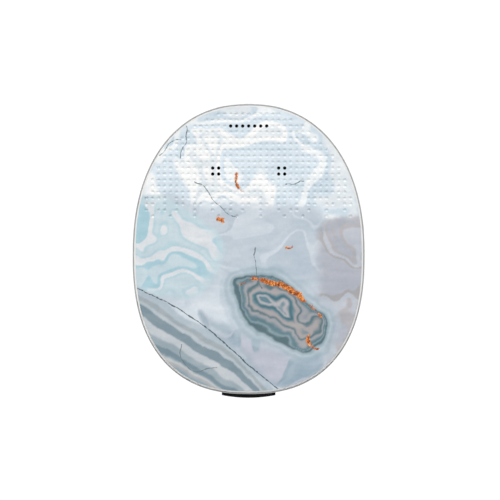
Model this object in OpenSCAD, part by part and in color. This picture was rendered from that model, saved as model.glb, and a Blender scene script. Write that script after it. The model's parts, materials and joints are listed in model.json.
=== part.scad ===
// Egg-shaped waterproof shower speaker on a twist-lock suction mount.
// Every part is drawn in the face frame: X to the right, Y up, Z out of the wall
// towards the listener, with Z = 0 on the wall. The part frame is the face frame
// stood upright: +Z up, the face towards -Y, and the origin at the centre of the
// suction cup's rim on the wall.

/* [Body outline] */
// Width of the body across its widest line
body_w = 116; // [110:1:124]
// Height of the outline above its widest line
top_h = 75.5; // [74:0.5:80]
// Height of the outline below its widest line
bottom_h = 69.5; // [68:0.5:74]
// Squareness of the upper half: 2 is an ellipse
top_n = 2.25; // [2.1:0.05:2.4]
// Squareness of the lower half: 2 is an ellipse
bottom_n = 2.4; // [2.2:0.05:2.6]

/* [Depths] */
// Gap between the wall and the back of the body
wall_gap = 14; // [14:0.5:18]
// Thickness of the body from its back to its face
body_t = 40; // [40:0.5:44]
// How far the back's flat patch lies inside the outline
dome_in = 26; // [24:1:28]
// Squareness of the dome's side profile: 2 is an ellipse
dome_n = 2.5; // [2.2:0.1:3]
// Wall thickness of the rear shell
wall = 2.2; // [2:0.1:2.4]

/* [Face] */
// Thickness of the face plate
plate_t = 2.2; // [2:0.1:2.4]
// Thickness of the printed skin
skin_t = 0.4; // [0.2:0.05:0.4]
// Visible width of the seal ring round the face plate
seal_show = 0.6; // [0.5:0.05:0.8]
// Bare edge of the face plate outside the skin
skin_gap = 0.85; // [0.5:0.05:0.9]
// Distance between neighbouring grille holes
pitch = 3; // [3:0.1:3]
// Radius of a grille hole
hole_r = 0.85; // [0.75:0.05:0.9]
// Height of the grille's top row
grille_top = 70.5; // [70:0.5:71]
// Clear margin between the grille holes and the outline
grille_margin = 3.1; // [3:0.1:4]

/* [Drivers] */
// Distance of each driver's centre from the middle line
driver_x = 16.5; // [16.5:0.5:16.5]
// Height of the drivers' centres
driver_y = 41.5; // [41.5:0.5:41.5]

/* [Controls] */
// Radius of a button's cap
button_r = 4; // [3.5:0.1:4.2]
// Spacing of the three buttons on top
button_gap = 14; // [13:0.5:14]
// Height of the power button on the right side
power_y = 14; // [12:1:16]

/* [Port cover] */
// Width of the port cover
cover_w = 26.8; // [24:0.1:27]
// Level of the port cover's lowest point
cover_low = 71.4; // [71:0.1:71.8]
// Radius of the port cover's lower face
cover_arc = 68; // [60:1:80]

/* [Suction mount] */
// Radius of the suction cup's rim
cup_r = 38; // [34:1:40]
// Width of the flat band on the rim
cup_band = 3; // [2:0.5:4]
// Radius of the twist-lock hub's shaft
hub_r = 10; // [9:0.5:10.5]

/* [Hidden] */

a = body_w / 2;
outline_points = 96;
face_z = wall_gap + body_t;
plate_back = face_z - plate_t;
rim_z = plate_back - 1.8;
ring_z = rim_z - 2.6;
gap = 0.05;
slip = 0.1;

// A point and the outward normal of the outline, at the curve's own angle t.
function signed_power(v, p) = sign(v) * pow(abs(v), p);
function half_n(t) = sin(t) >= 0 ? top_n : bottom_n;
function half_height(t) = sin(t) >= 0 ? top_h : bottom_h;
function egg_point(t) =
    [a * signed_power(cos(t), 2 / half_n(t)),
     half_height(t) * signed_power(sin(t), 2 / half_n(t))];
function egg_gradient(t) = let (p = 2 - 2 / half_n(t))
    [signed_power(cos(t), p) / a, signed_power(sin(t), p) / half_height(t)];
function egg_inset(t, inset) = let (g = egg_gradient(t))
    egg_point(t) - inset * g / norm(g);
function egg(inset, count = outline_points) =
    [for (i = [0 : count - 1]) egg_inset(360 * i / count, inset)];
// Height of the outline above a point x of the top, and its half width at a height y.
function top_at(x) = top_h * pow(1 - pow(abs(x) / a, top_n), 1 / top_n);
function side_at(y) = a * pow(1 - pow(y / top_h, top_n), 1 / top_n);

// The dome's profile: inset and depth at q degrees from the rim to the back.
function dome_inset(q, reach) = reach * (1 - pow(cos(q), 2 / dome_n));
function dome_depth(q, drop) = drop * pow(sin(q), 2 / dome_n);
// The dome's inset at a depth z, for parts that sit on its surface.
function dome_inset_at(z) =
    dome_inset(asin(pow((rim_z - z) / (rim_z - wall_gap), dome_n / 2)), dome_in);
rim_inset = 0.15;

// The grille: rows from the top down, thinning out over the last four.
rows = 18;
fade_rows = 4;
fade_cycle = 11;
fade_step = [2, 4, 4, 3];
fade_keep = [9, 7, 5, 3];
level_row = 2;
cluster_rows = [9, 10];
level_columns = 3;
cluster_columns = [5, 6];
function in_grille(x, y) =
    pow(abs(x) / (a - grille_margin), top_n)
    + pow(y / (top_h - grille_margin), top_n) < 1;
function kept(column, row) =
    let (f = row - (rows - fade_rows))
    f < 0 || ((column + 4 * fade_cycle) * fade_step[f] + row) % fade_cycle < fade_keep[f];
function is_open(column, row) =
    (row == level_row && abs(column) <= level_columns)
    || (row >= cluster_rows[0] && row <= cluster_rows[1]
        && abs(column) >= cluster_columns[0] && abs(column) <= cluster_columns[1]);

case_screw_angles = [40, 140, 184, 245, 295, 356];
case_screw_inset = 7.3;
case_split_z = 34;
screw_head_z = 31;

button_z = 42;
button_xs = [-button_gap, 0, button_gap];
button_proud = 0.35;
button_travel = 0.5;
button_flange_t = 0.8;
switch_h = 1.6;
top_flange = 69.2;
button_board_y = 64;
side_flange = 53.3;
power_board_x = 48.2;

pocket_floor = -67.6;
hinge_r = 0.5;
pocket_block = 15.6;
pocket_top = 64;
cover_z0 = 38.2;
cover_z1 = 48.5;
usb_x = -6;
usb_z = 41.05;
aux_x = 6.5;
aux_z = 41.9;
aux_r = 1.8;

driver_z = 48.2;
baffle_z0 = 48.8;
baffle_z1 = 50.8;
main_board_z = 27.6;
battery_y = -41;
battery_z = 42.4;
battery_r = 9.15;
board_posts = [[-29, 12], [29, 12], [-29, -40], [29, -40]];

socket_flange_r = 24;
socket_r = 18;
socket_z0 = 12.4;
chamber_z = 16;
cap_z = 20;
lug_r = 13.8;
lug_angle = 40;
lock_turn = 60;

white = [0.93, 0.93, 0.92];
marble = [0.72, 0.80, 0.84];
grey = [0.42, 0.43, 0.44];
black = [0.06, 0.06, 0.07];
smoke = [0.04, 0.04, 0.05];
steel = [0.70, 0.71, 0.72];
dark_steel = [0.32, 0.33, 0.35];
copper = [0.75, 0.43, 0.22];
board_green = [0.07, 0.30, 0.18];
light_white = [0.96, 0.95, 0.88];

// ---------- helpers ----------

// Stands the face frame up into the part frame.
module upright() {
    rotate([90, 0, 0]) children();
}

// A flat shape between two depths.
module slab(z0, z1) {
    translate([0, 0, z0]) linear_extrude(z1 - z0) children();
}

// A rod along Z, along Y or along X, from the lower to the higher coordinate.
module rod(x, y, z0, z1, r) {
    translate([x, y, z0]) cylinder(h = z1 - z0, r = r, $fn = 48);
}

module rod_up(x, y0, y1, z, r) {
    translate([x, y0, z]) rotate([-90, 0, 0]) cylinder(h = y1 - y0, r = r, $fn = 48);
}

module rod_side(x0, x1, y, z, r) {
    translate([x0, y, z]) rotate([0, 90, 0]) cylinder(h = x1 - x0, r = r, $fn = 48);
}

// A box from its lowest to its highest corner.
module block(low, high) {
    translate(low) cube(high - low);
}

// A side view drawn as (z, y), extruded across the width w about x.
module side_view(x, w) {
    translate([x, 0, 0]) rotate([0, -90, 0]) linear_extrude(w, center = true) children();
}

// A closed solid through rings of equal point counts, from the front ring to the back one.
module loft(rings) {
    n = len(rings[0]);
    points = [for (ring = rings) each ring];
    sides = [for (k = [0 : len(rings) - 2], i = [0 : n - 1]) let (j = (i + 1) % n)
        each [[k * n + i, k * n + j, (k + 1) * n + j],
              [k * n + i, (k + 1) * n + j, (k + 1) * n + i]]];
    front = [for (i = [n - 1 : -1 : 0]) i];
    back = [for (i = [0 : n - 1]) (len(rings) - 1) * n + i];
    polyhedron(points = points, faces = concat(sides, [front, back]), convexity = 4);
}

function lifted(points, z) = [for (p = points) [p[0], p[1], z]];

// The dome as a solid: its skin lies inset inside the outline and back inside the flat patch.
module dome(inset, back, front, steps, count) {
    reach = dome_in - inset * 0.5;
    drop = rim_z - back;
    loft(concat(
        front > rim_z ? [lifted(egg(inset, count), front)] : [],
        [for (k = [0 : steps]) let (q = 90 * k / steps)
            lifted(egg(inset + dome_inset(q, reach), count), rim_z - dome_depth(q, drop))]));
}

// A round wire through points, as one swept tube.
function unit(v) = v / norm(v);
function direction(path, i) =
    unit(path[min(i + 1, len(path) - 1)] - path[max(i - 1, 0)]);
function wire_ring(path, i, r, sides) = let (
        d = direction(path, i),
        u = unit(cross(d, abs(d[2]) < 0.9 ? [0, 0, 1] : [1, 0, 0])),
        v = cross(d, u))
    [for (k = [0 : sides - 1]) let (t = 360 * k / sides)
        path[i] + r * (u * cos(t) + v * sin(t))];
module wire(path, r) {
    loft([for (i = [len(path) - 1 : -1 : 0]) wire_ring(path, i, r, 8)]);
}

// Points of a smooth curve through hand-chosen points.
function curve_point(p, i, t) = let (
        p0 = p[max(i - 1, 0)], p1 = p[i], p2 = p[i + 1], p3 = p[min(i + 2, len(p) - 1)])
    0.5 * (2 * p1 + (p2 - p0) * t + (2 * p0 - 5 * p1 + 4 * p2 - p3) * t * t
        + (3 * p1 - p0 - 3 * p2 + p3) * t * t * t);
function smooth(p, steps) = concat(
    [for (i = [0 : len(p) - 2], k = [0 : steps - 1]) curve_point(p, i, k / steps)],
    [p[len(p) - 1]]);

// ---------- face ----------

module grille_holes(open_only) {
    for (row = [0 : rows - 1], column = [-18 : 18]) {
        x = column * pitch;
        y = grille_top - row * pitch;
        if (in_grille(x, y) && (open_only ? is_open(column, row)
                : is_open(column, row) || kept(column, row)))
            translate([x, y]) circle(r = hole_r, $fn = 24);
    }
}

// Printed vinyl skin, cut open only over the level lights and the driver centres.
module face_skin() {
    color(marble) slab(face_z, face_z + skin_t) difference() {
        polygon(egg(seal_show + skin_gap));
        grille_holes(true);
    }
}

// Flat perforated plate that the skin sticks to.
module face_plate() {
    color(white) slab(plate_back, face_z) difference() {
        polygon(egg(seal_show + gap));
        grille_holes(false);
    }
}

module case_screw_place() {
    for (t = case_screw_angles) {
        p = egg_inset(t, case_screw_inset);
        translate([p[0], p[1], 0]) children();
    }
}

module driver_places() {
    for (side = [-1, 1]) translate([side * driver_x, driver_y, 0]) children();
}

driver_ears = [[-13, -13], [13, -13], [-13, 13], [13, 13]];

// Ring behind the face plate, with the drivers' baffle and six screw bosses.
module front_frame() {
    ring_out = rim_inset + wall + 0.4;
    color(white) difference() {
        union() {
            slab(ring_z, plate_back) difference() {
                polygon(egg(ring_out));
                polygon(egg(ring_out + 1.6));
            }
            slab(baffle_z0, baffle_z1) intersection() {
                polygon(egg(ring_out + 1));
                translate([-a, 15]) square([body_w, top_h]);
            }
            case_screw_place() rod(0, 0, case_split_z + slip, plate_back, 2.9);
        }
        case_screw_place() rod(0, 0, case_split_z - 1, 46, 1.25);
        driver_places() rod(0, 0, baffle_z0 - 1, baffle_z1 + 1, 14);
        driver_places() for (e = driver_ears) rod(e[0], e[1], baffle_z0 - 1, 50.2, 0.8);
        block([-13.6, 61, baffle_z0 - 1], [13.6, 67, baffle_z1 + 1]);
        block([-pocket_block - slip, -80, ring_z - 1], [pocket_block + slip, -pocket_top + slip, rim_z + slip]);
    }
}

// Rubber seal between the face and the rear shell. Its front edge frames the face plate.
module seal_ring() {
    color(grey) union() {
        slab(rim_z, plate_back) difference() {
            polygon(egg(0));
            polygon(egg(rim_inset + wall));
        }
        slab(plate_back, face_z - 0.4) difference() {
            polygon(egg(0));
            polygon(egg(seal_show));
        }
    }
}

// Waterproof acoustic cloth between the baffle and the face plate.
module grille_cloth() {
    color(black) slab(plate_back - 0.3, plate_back) difference() {
        intersection() {
            polygon(egg(5));
            translate([-a, 16]) square([body_w, top_h]);
        }
        translate([-13.6, 61]) square([27.2, 6]);
        case_screw_place() circle(r = 4, $fn = 48);
    }
}

// Smoked bar with seven pins that fill the level row's holes.
module level_light_guide() {
    color(smoke) union() {
        block([-11.5, 62.2, 50.2], [11.5, 65.8, plate_back]);
        for (column = [-level_columns : level_columns])
            rod(column * pitch, grille_top - level_row * pitch, plate_back - 0.2,
                face_z, hole_r - 0.02);
    }
}

// ---------- rear shell ----------

// The cover's pocket and the strap's groove, seen from the side.
module strap_profile(grow) {
    polygon([[cover_z0 - 0.1 + grow, -67.6 + grow], [31.5 - grow, -66.3 + grow],
             [31.5 - grow, -80], [cover_z0 - 0.1 + grow, -80]]);
}

module rear_shell_solid() {
    difference() {
        dome(rim_inset, wall_gap, rim_z, 10, 72);
        // The cavity, less what stands inside it.
        difference() {
            dome(rim_inset + wall, wall_gap + wall, rim_z + 1, 8, 72);
            case_screw_place() rod(0, 0, 0, case_split_z, 4.6);
            block([-pocket_block, -80, 30], [pocket_block, -pocket_top, rim_z + 2]);
            for (p = board_posts) rod(p[0], p[1], 0, main_board_z, 3);
            for (side = [-1, 1]) {
                rod_up(side * 7, button_board_y, 80, 38, 1.4);
                rod_side(power_board_x, 60, power_y + side * 7.2, button_z, 1.4);
            }
        }
    }
}

module rear_shell() {
    color(white) difference() {
        rear_shell_solid();
        case_screw_place() {
            rod(0, 0, -1, screw_head_z, 3.1);
            rod(0, 0, 0, case_split_z + 1, 1.6);
        }
        for (p = board_posts) rod(p[0], p[1], main_board_z - 6, main_board_z + 1, 1);
        rod(0, 0, 0, 22, socket_r + slip);
        for (k = [0 : 2]) rotate(120 * k + 90) rod(21, 0, 0, 22, 0.9);
        for (x = button_xs) rod_up(x, 67, 80, button_z, button_r + 0.15);
        rod_side(50, 60, power_y, button_z, button_r + 0.15);
        // Pocket for the port cover and the two port openings in its floor.
        block([-cover_w / 2 - 0.3, -80, cover_z0 - 0.1], [cover_w / 2 + 0.3, pocket_floor, cover_z1 + 0.3]);
        side_view(0, 16.4) strap_profile(0);
        rod_up(0, -68, -60, 33.6, 1.7);
        block([usb_x - 4.8, -69, usb_z - 1.9], [usb_x + 4.8, -63, usb_z + 1.9]);
        rod_up(aux_x, -69, -63, aux_z, 2.6);
    }
}

module case_screws() {
    color(dark_steel) case_screw_place() difference() {
        union() {
            rod(0, 0, screw_head_z - 2.2, screw_head_z, 2.7);
            rod(0, 0, screw_head_z - 0.1, screw_head_z + 11, 1.2);
        }
        translate([0, 0, screw_head_z - 3]) cylinder(h = 2.2, r = 1.3, $fn = 6);
    }
}

// ---------- port cover ----------

// Rubber flap under the body. Its back edge is sloped so that it can swing down.
module port_cover() {
    color(black) union() {
        difference() {
            intersection() {
                slab(cover_z0, cover_z1) intersection() {
                    translate([-cover_w / 2, -80]) square([cover_w, 80 + pocket_floor - 0.1]);
                    translate([0, cover_arc - cover_low]) circle(r = cover_arc, $fn = 200);
                }
                side_view(0, cover_w + 2) polygon([[cover_z0, -60], [cover_z1, -60],
                    [cover_z1, -80], [cover_z0 + 3.4, -72], [cover_z0, -68.6]]);
            }
            rod_side(-8.1, 8.1, -68.6, cover_z0, hinge_r + gap);
        }
        block([usb_x - 4.4, pocket_floor - 0.5, usb_z - 1.4], [usb_x + 4.4, -66.6, usb_z + 1.4]);
        rod_up(aux_x, pocket_floor - 0.5, -66.6, aux_z, 2.1);
    }
}

// Strap that carries the flap: its round bead is the fold, and it is plugged into the shell.
module port_cover_strap() {
    color(black) union() {
        rod_side(-8, 8, -68.6, cover_z0, hinge_r);
        side_view(0, 16) polygon([[cover_z0 - 0.1, -67.6], [31.5, -66.3],
            [31.5, -67.2], [cover_z0 - 0.1, -68.5]]);
        rod_up(0, -67, -62.6, 33.6, 1.6);
        rod_up(0, -63.6, -62.4, 33.6, 2.4);
    }
}

// ---------- buttons ----------

// A button drawn along +Y about its own axis: its flange's top lies at flange_top.
module button_stem(flange_top, board_face) {
    rod_up(0, flange_top - button_flange_t, flange_top, 0, button_r + 1);
    rod_up(0, board_face + switch_h + button_travel + gap, flange_top - 0.1, 0, 1.5);
}

// The body's outline at the buttons' depth, raised by how far the caps stand proud.
module cap_outline() {
    slab(button_z - button_r - 1, button_z + button_r + 1)
        polygon(egg(rim_inset + dome_inset_at(button_z) - button_proud));
}

module top_button(x) {
    color(grey) union() {
        intersection() {
            rod_up(x, top_flange - 0.1, 80, button_z, button_r);
            cap_outline();
        }
        translate([x, 0, button_z]) button_stem(top_flange, button_board_y);
    }
}

module power_button() {
    color(grey) union() {
        intersection() {
            rod_side(side_flange - 0.1, 62, power_y, button_z, button_r);
            cap_outline();
        }
        translate([0, power_y, button_z]) rotate([0, 0, -90])
            button_stem(side_flange, power_board_x);
    }
}

// Rubber collar that stands on the board round a switch and stops the flange.
module button_collar(flange_top, board_face) {
    difference() {
        rod_up(0, board_face, flange_top - button_flange_t - button_travel - 0.1, 0, 4.2);
        rod_up(0, board_face - 1, flange_top, 0, 3.4);
    }
}

module button_seals() {
    color(black) {
        for (x = button_xs) translate([x, 0, button_z])
            button_collar(top_flange, button_board_y);
        translate([0, power_y, button_z]) rotate([0, 0, -90])
            button_collar(side_flange, power_board_x);
    }
}

module button_board() {
    color(board_green) difference() {
        block([-20, button_board_y - 1.2, 36], [20, button_board_y, 47.5]);
        for (side = [-1, 1]) rod_up(side * 7, 60, 70, 38, 0.8);
    }
}

module power_board() {
    color(board_green)
        block([power_board_x - 1.2, power_y - 9, 37], [power_board_x, power_y + 9, 47]);
}

module tact_switch() {
    block([-2.25, 0, -2.25], [2.25, switch_h - 0.6, 2.25]);
    rod_up(0, switch_h - 0.7, switch_h, 0, 1.2);
}

module tact_switches() {
    color(steel) {
        for (x = button_xs) translate([x, button_board_y, button_z]) tact_switch();
        translate([power_board_x, power_y, button_z]) rotate([0, 0, -90]) tact_switch();
    }
}

// ---------- level lights ----------

module led_board() {
    color(board_green) block([-15, 60, baffle_z0 - 1], [15, 68, baffle_z0]);
}

module level_leds() {
    color(light_white) for (column = [-level_columns : level_columns])
        translate([column * pitch, grille_top - level_row * pitch, 0])
            block([-0.8, -0.5, baffle_z0], [0.8, 0.5, baffle_z0 + 0.8]);
}

// ---------- drivers ----------

// Each driver part is drawn round its own axis, with z measured in the face frame.
module turned() {
    rotate_extrude($fn = 72) children();
}

module flange_outline() {
    square([32, 24], center = true);
    square([24, 32], center = true);
    for (x = [-12, 12], y = [-12, 12]) translate([x, y]) circle(r = 4, $fn = 48);
}

module driver_gasket() {
    color(black) slab(driver_z, baffle_z0) difference() {
        flange_outline();
        circle(r = 13.9, $fn = 72);
        for (e = driver_ears) translate(e) circle(r = 1.2, $fn = 24);
    }
}

// Pressed basket with four windows and a ledge for the spider.
module driver_frame() {
    color(dark_steel) difference() {
        union() {
            slab(driver_z - 1.2, driver_z) flange_outline();
            turned() polygon([[13, 47.2], [14.6, 47.2], [14.6, 44.5], [12.2, 41.4],
                [12.2, 38.6], [8.1, 38.6], [8.1, 39.8], [9.6, 39.8], [9.6, 41.6],
                [11.2, 41.6], [13, 44.6]]);
        }
        rod(0, 0, 44.7, 49, 13);
        for (e = driver_ears) rod(e[0], e[1], 46, 49, 1.2);
        for (k = [0 : 3]) rotate(90 * k) block([10, -4, 42.1], [16, 4, 45.2]);
    }
}

// Half-roll surround: its outer flange lies on the frame, its inner lip on the cone.
module surround() {
    color(black) turned() union() {
        translate([12.9, driver_z]) square([0.9, 0.5]);
        translate([11.9, driver_z]) difference() {
            circle(r = 1.3, $fn = 48);
            circle(r = 0.9, $fn = 48);
            translate([-2, -2]) square([4, 2]);
        }
        translate([10.3, driver_z]) square([0.6, 0.35]);
    }
}

module cone() {
    color(black) turned() polygon([[10.9, driver_z - 0.05], [7.15, 43.4], [6.75, 43.4],
        [10.4, driver_z - 0.05]]);
}

module dust_cap() {
    color(black) turned() intersection() {
        translate([0, 36.5]) difference() {
            circle(r = 9.7, $fn = 72);
            circle(r = 9.3, $fn = 72);
        }
        translate([0, 43.5]) square([6.7, 4]);
    }
}

module voice_coil() {
    color(copper) turned() union() {
        translate([6.85, 35.2]) square([0.2, 8.15]);
        translate([7.0, 35.2]) square([0.45, 3.2]);
    }
}

module spider() {
    color(copper) turned() polygon([[7.1, 41.9], [7.7, 42.4], [8.3, 41.9], [8.9, 42.4],
        [9.5, 41.9], [11, 41.9], [11, 41.6], [9.5, 41.6], [8.9, 42.1], [8.3, 41.6],
        [7.7, 42.1], [7.1, 41.6]]);
}

module top_plate() {
    color(steel) rod(0, 0, 36.9, 38.4, 6.5);
}

module magnet() {
    color(dark_steel) rod(0, 0, 33.4, 36.9, 6.4);
}

module yoke() {
    color(steel) turned() polygon([[0, 31.6], [9.4, 31.6], [9.4, 38.6], [8, 38.6],
        [8, 33.4], [0, 33.4]]);
}

module driver_screws() {
    color(dark_steel) driver_places() for (e = driver_ears) translate([e[0], e[1], 0]) {
        rod(0, 0, driver_z - 2.4, driver_z - 1.2, 1.9);
        rod(0, 0, driver_z - 1.3, 50.1, 0.75);
    }
}

module left() {
    translate([-driver_x, driver_y, 0]) children();
}

module right() {
    translate([driver_x, driver_y, 0]) children();
}

// ---------- electronics ----------

module main_board() {
    color(board_green) difference() {
        block([-33, -45, main_board_z], [33, 17, main_board_z + 1.6]);
        for (p = board_posts) rod(p[0], p[1], main_board_z - 1, main_board_z + 3, 1.2);
    }
}

board_front = main_board_z + 1.6;
module main_board_chips() {
    color(black) {
        block([-9, -14, board_front], [5, 0, board_front + 1.2]);
        block([-24, 2, board_front], [-17, 9, board_front + 1]);
        block([14, -12, board_front], [23, -3, board_front + 1.4]);
        block([-25, -16, board_front], [-18, -9, board_front + 3]);
        for (x = [-12 : 6 : 12]) rod(x, 8, board_front, board_front + 3.5, 2);
        for (x = [-27, 19]) block([x, -24, board_front], [x + 8, -19, board_front + 4]);
    }
}

module board_screws() {
    color(steel) for (p = board_posts) {
        rod(p[0], p[1], board_front, board_front + 1.4, 2);
        rod(p[0], p[1], main_board_z - 5, board_front + 0.1, 0.9);
    }
}

module port_board() {
    color(board_green) block([-13, -64, 38.2], [13, -52, 39.4]);
}

// USB-C receptacle that opens downwards, with its tongue.
module usb_socket() {
    color(steel) union() {
        difference() {
            block([usb_x - 4.5, -63.8, usb_z - 1.65], [usb_x + 4.5, -56.4, usb_z + 1.65]);
            block([usb_x - 4.2, -64.8, usb_z - 1.3], [usb_x + 4.2, -57, usb_z + 1.3]);
        }
        block([usb_x - 3.3, -63, usb_z - 0.35], [usb_x + 3.3, -56.9, usb_z + 0.35]);
    }
}

module aux_jack() {
    color(black) difference() {
        union() {
            block([aux_x - 3, -63.8, 39.4], [aux_x + 3, -51.6, 44.4]);
        }
        rod_up(aux_x, -65, -52.8, aux_z, aux_r);
    }
}

module battery_cell() {
    color([0.15, 0.35, 0.62]) rod_side(-32.5, 32.5, battery_y, battery_z, battery_r);
}

// Two saddles on a base that hold the cell off the main board.
module battery_cradle() {
    color(grey) difference() {
        union() {
            block([-30, -44.6, board_front + 1.6], [30, -31, board_front + 3.2]);
            for (x = [-25, 17])
                block([x, -51, board_front + 1.6], [x + 8, -31, board_front + 8]);
            for (x = [-24, 18]) block([x, -44.6, board_front], [x + 6, -34, board_front + 1.8]);
        }
        rod_side(-40, 40, battery_y, battery_z, battery_r + 0.1);
    }
}

battery_lead_routes = [
    [[33.2, -38, 45], [35.5, -36, 44], [37, -30, 39], [33, -23, 36], [24, -21.5, 35.4], [21, -21.5, 34]],
    [[33.2, -40, 40], [36, -38, 39], [38.5, -30, 35.4], [34, -20, 35], [27, -18, 35.4], [25, -21, 35], [25, -21.5, 34]]
];

module battery_leads() {
    color([0.7, 0.1, 0.08]) for (route = battery_lead_routes) wire(smooth(route, 4), 0.6);
}

speaker_lead_route =
    [[22, 29.6, 40.5], [22.5, 27, 38], [24, 20, 36], [29.5, 8, 36], [29, -8, 36.4], [25, -17, 36], [24, -21, 35], [24, -21.5, 33.9]];

module speaker_leads() {
    color([0.85, 0.85, 0.82]) {
        wire(smooth([for (p = speaker_lead_route) [-p[0], p[1], p[2]]], 4), 0.5);
        wire(smooth([for (p = speaker_lead_route) [p[0] - 1, p[1], p[2]]], 4), 0.5);
    }
}

// ---------- suction mount ----------

// Bayonet socket screwed to the back. Its slots let the hub's lugs in at lock_turn.
module mount_socket() {
    color(grey) difference() {
        turned() polygon([[hub_r + slip, socket_z0], [socket_flange_r, socket_z0],
            [socket_flange_r, wall_gap - slip], [20, wall_gap - slip], [20, 13.4],
            [socket_r, 13.4], [socket_r, cap_z], [lug_r + 0.4, cap_z],
            [lug_r + 0.4, chamber_z], [hub_r + slip, chamber_z]]);
        for (k = [0 : 2]) rotate(120 * k + lock_turn - lug_angle / 2 - 2)
            slab(socket_z0 - 1, chamber_z + 0.5) sector(lug_r + 0.3, lug_angle + 4);
        for (k = [0 : 2]) rotate(120 * k + 90) rod(21, 0, 0, 22, 1.2);
    }
}

// A pie slice from the X axis through an angle under 90 degrees.
module sector(r, angle) {
    intersection() {
        circle(r = r, $fn = 72);
        polygon([[0, 0], [2 * r, 0], [2 * r * cos(angle / 2), 2 * r * sin(angle / 2)],
            [2 * r * cos(angle), 2 * r * sin(angle)]]);
    }
}

module socket_seal() {
    color(black) slab(wall_gap - 0.6, wall_gap) difference() {
        circle(r = 19.9, $fn = 72);
        circle(r = socket_r + slip, $fn = 72);
    }
}

module socket_cap() {
    color(grey) rod(0, 0, cap_z, cap_z + 1.6, socket_r);
}

module socket_screws() {
    color(steel) for (k = [0 : 2]) rotate(120 * k + 90) translate([21, 0, 0]) difference() {
        union() {
            rod(0, 0, socket_z0 - 1.4, socket_z0, 2.1);
            rod(0, 0, socket_z0 - 0.1, wall_gap + 2, 0.85);
        }
        translate([0, 0, socket_z0 - 2]) cylinder(h = 1.4, r = 1, $fn = 6);
    }
}

// Hub with three lugs. Its flange bears on the cup.
module mount_hub() {
    color(grey) difference() {
        union() {
            rod(0, 0, 9.6, 19.6, hub_r);
            rod(0, 0, 9.6, 12.2, 15.5);
            for (k = [0 : 2]) rotate(120 * k - lug_angle / 2)
                slab(chamber_z + 0.3, 19.3) sector(lug_r, lug_angle);
        }
        rod(0, 0, 9, 14, 3 + gap);
        rod(0, 0, 9, 20, 1.6);
        rod(0, 0, 17, 20, 3.2);
    }
}

module hub_screw() {
    color(steel) difference() {
        union() {
            rod(0, 0, 17, 19, 2.8);
            rod(0, 0, 8, 17.1, 1.45);
        }
        translate([0, 0, 18]) cylinder(h = 2, r = 1.4, $fn = 6);
    }
}

// Mushroom stud that the cup is moulded round.
module stud_profile(top) {
    polygon([[0, 4.8], [8, 4.8], [8, 6.2], [3, 6.8], [3, top], [0, top]]);
}

module cup_stud() {
    color(steel) difference() {
        turned() stud_profile(13.8);
        rod(0, 0, 7.9, 15, 1.5);
    }
}

// Silicone cup with a flat band round its rim and a tab for pulling it off the wall.
module suction_cup() {
    color(black) difference() {
        union() {
            turned() polygon([[0, 3.2], [14, 3], [26, 1.9], [cup_r - cup_band, 0],
                [cup_r, 0], [cup_r, 0.9], [30, 3.6], [20, 6.2], [13.5, 8.2], [12, 9.6], [0, 9.6]]);
            slab(0.4, 1.8) tab_outline();
        }
        turned() stud_profile(10);
    }
}

module tab_outline() {
    difference() {
        union() {
            translate([-7, -cup_r - 3]) square([14, 6]);
            translate([0, -cup_r - 3]) circle(r = 7, $fn = 72);
        }
        circle(r = cup_r - 2, $fn = 144);
    }
}

// ---------- nodes ----------

upright() face_skin();
upright() face_plate();
upright() front_frame();
upright() seal_ring();
upright() rear_shell();
upright() port_cover();
upright() port_cover_strap();
upright() top_button(-button_gap);  // volume_down_button
upright() top_button(0);  // play_button
upright() top_button(button_gap);  // volume_up_button
upright() power_button();
upright() button_seals();
upright() case_screws();
upright() level_light_guide();
upright() grille_cloth();
upright() mount_socket();
upright() socket_seal();
upright() socket_cap();
upright() socket_screws();
upright() mount_hub();
upright() hub_screw();
upright() cup_stud();
upright() suction_cup();
upright() left() driver_gasket();  // left_driver_gasket
upright() left() driver_frame();  // left_driver_frame
upright() left() surround();  // left_surround
upright() left() cone();  // left_cone
upright() left() dust_cap();  // left_dust_cap
upright() left() voice_coil();  // left_voice_coil
upright() left() spider();  // left_spider
upright() left() top_plate();  // left_top_plate
upright() left() magnet();  // left_magnet
upright() left() yoke();  // left_yoke
upright() right() driver_gasket();  // right_driver_gasket
upright() right() driver_frame();  // right_driver_frame
upright() right() surround();  // right_surround
upright() right() cone();  // right_cone
upright() right() dust_cap();  // right_dust_cap
upright() right() voice_coil();  // right_voice_coil
upright() right() spider();  // right_spider
upright() right() top_plate();  // right_top_plate
upright() right() magnet();  // right_magnet
upright() right() yoke();  // right_yoke
upright() driver_screws();
upright() led_board();
upright() level_leds();
upright() button_board();
upright() power_board();
upright() tact_switches();
upright() main_board();
upright() main_board_chips();
upright() board_screws();
upright() port_board();
upright() usb_socket();
upright() aux_jack();
upright() battery_cell();
upright() battery_cradle();
upright() battery_leads();
upright() speaker_leads();
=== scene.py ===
"""Looks of the shower speaker: an egg-shaped face with a poured-marble print, a grey seal, a white
rear shell, rubber flap, buttons and a suction mount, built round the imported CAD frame."""

import json
import math

import bmesh
import bpy
import numpy as np
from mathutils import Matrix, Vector
from mathutils.geometry import delaunay_2d_cdt


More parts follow.
